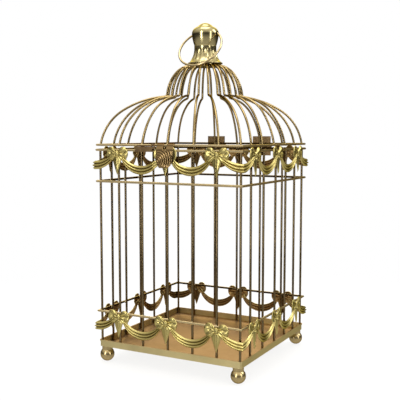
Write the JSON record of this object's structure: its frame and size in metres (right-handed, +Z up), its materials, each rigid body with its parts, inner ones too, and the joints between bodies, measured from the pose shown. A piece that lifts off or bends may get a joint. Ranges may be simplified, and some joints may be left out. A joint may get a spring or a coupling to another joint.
{
  "type": "wedding card box",
  "caption": "Gold wire birdcage card holder: square cage on a ball-footed tray, bow and swag trim, hinged two-tier dome lid with front hasp and a hanging ring through the finial.",
  "frame": {"origin": "on the surface it stands on, under the middle of the cage", "axes": "+Z up; the hasp's side looks along -Y and the hinges are on the +Y side; +X to the right seen from the front"},
  "size_m": [0.1694, 0.1754, 0.3558],
  "materials": {
    "wire": "polished antique-gold plated wire",
    "tray_sheet": "glossy gold plated sheet",
    "ball_feet": "polished gold plate",
    "festoon_sheet": "satin yellow-gold pressed sheet",
    "hinge_metal": "satin gold plate",
    "hasp_metal": "polished darker gold plate",
    "finial": "polished pale gold"
  },
  "bodies": {
    "cage": {"base_rail": "wire", "body_ring": "wire", "festoon_lower_back": "festoon_sheet", "festoon_lower_front": "festoon_sheet", "festoon_lower_left": "festoon_sheet", "festoon_lower_right": "festoon_sheet", "festoon_upper_back": "festoon_sheet", "festoon_upper_front": "festoon_sheet", "festoon_upper_left": "festoon_sheet", "festoon_upper_right": "festoon_sheet", "foot_back_left": "ball_feet", "foot_back_right": "ball_feet", "foot_front_left": "ball_feet", "foot_front_right": "ball_feet", "hinge_leaf_lower_left": "hinge_metal", "hinge_leaf_lower_right": "hinge_metal", "hinge_pin_left": "hinge_metal", "hinge_pin_right": "hinge_metal", "lid_rest": "hinge_metal", "mid_rail": "wire", "post_back_left": "wire", "post_back_right": "wire", "post_front_left": "wire", "post_front_right": "wire", "tray": "tray_sheet", "wires_back": "wire", "wires_front": "wire", "wires_left": "wire", "wires_right": "wire"},
    "lid": {"ball": "finial", "bell": "finial", "button": "finial", "collar": "finial", "hinge_leaf_upper_left": "hinge_metal", "hinge_leaf_upper_right": "hinge_metal", "lid_ring": "wire", "neck_screw": "finial", "rib_back_left": "wire", "rib_back_right": "wire", "rib_front_left": "wire", "rib_front_right": "wire", "ribs_back": "wire", "ribs_front": "wire", "ribs_left": "wire", "ribs_right": "wire"},
    "hasp": {"hasp": "hasp_metal"},
    "hanging_ring": {"hanging_ring": "wire"}
  },
  "joints": [
    {"name": "lid_hinge", "type": "hinge", "parent": "cage", "child": "lid", "pos_m": [0, 0.0856, 0.22525], "axis": [-1, 0, 0], "range_deg": [0, 175]},
    {"name": "hasp_hinge", "type": "hinge", "parent": "lid", "child": "hasp", "pos_m": [0, -0.08212, 0.2278], "axis": [-1, 0, 0], "range_deg": [0, 120]},
    {"name": "ring_hinge", "type": "hinge", "parent": "lid", "child": "hanging_ring", "pos_m": [0, 0, 0.3441], "axis": [-1, 0, 0], "range_deg": [0, 286]}
  ]
}
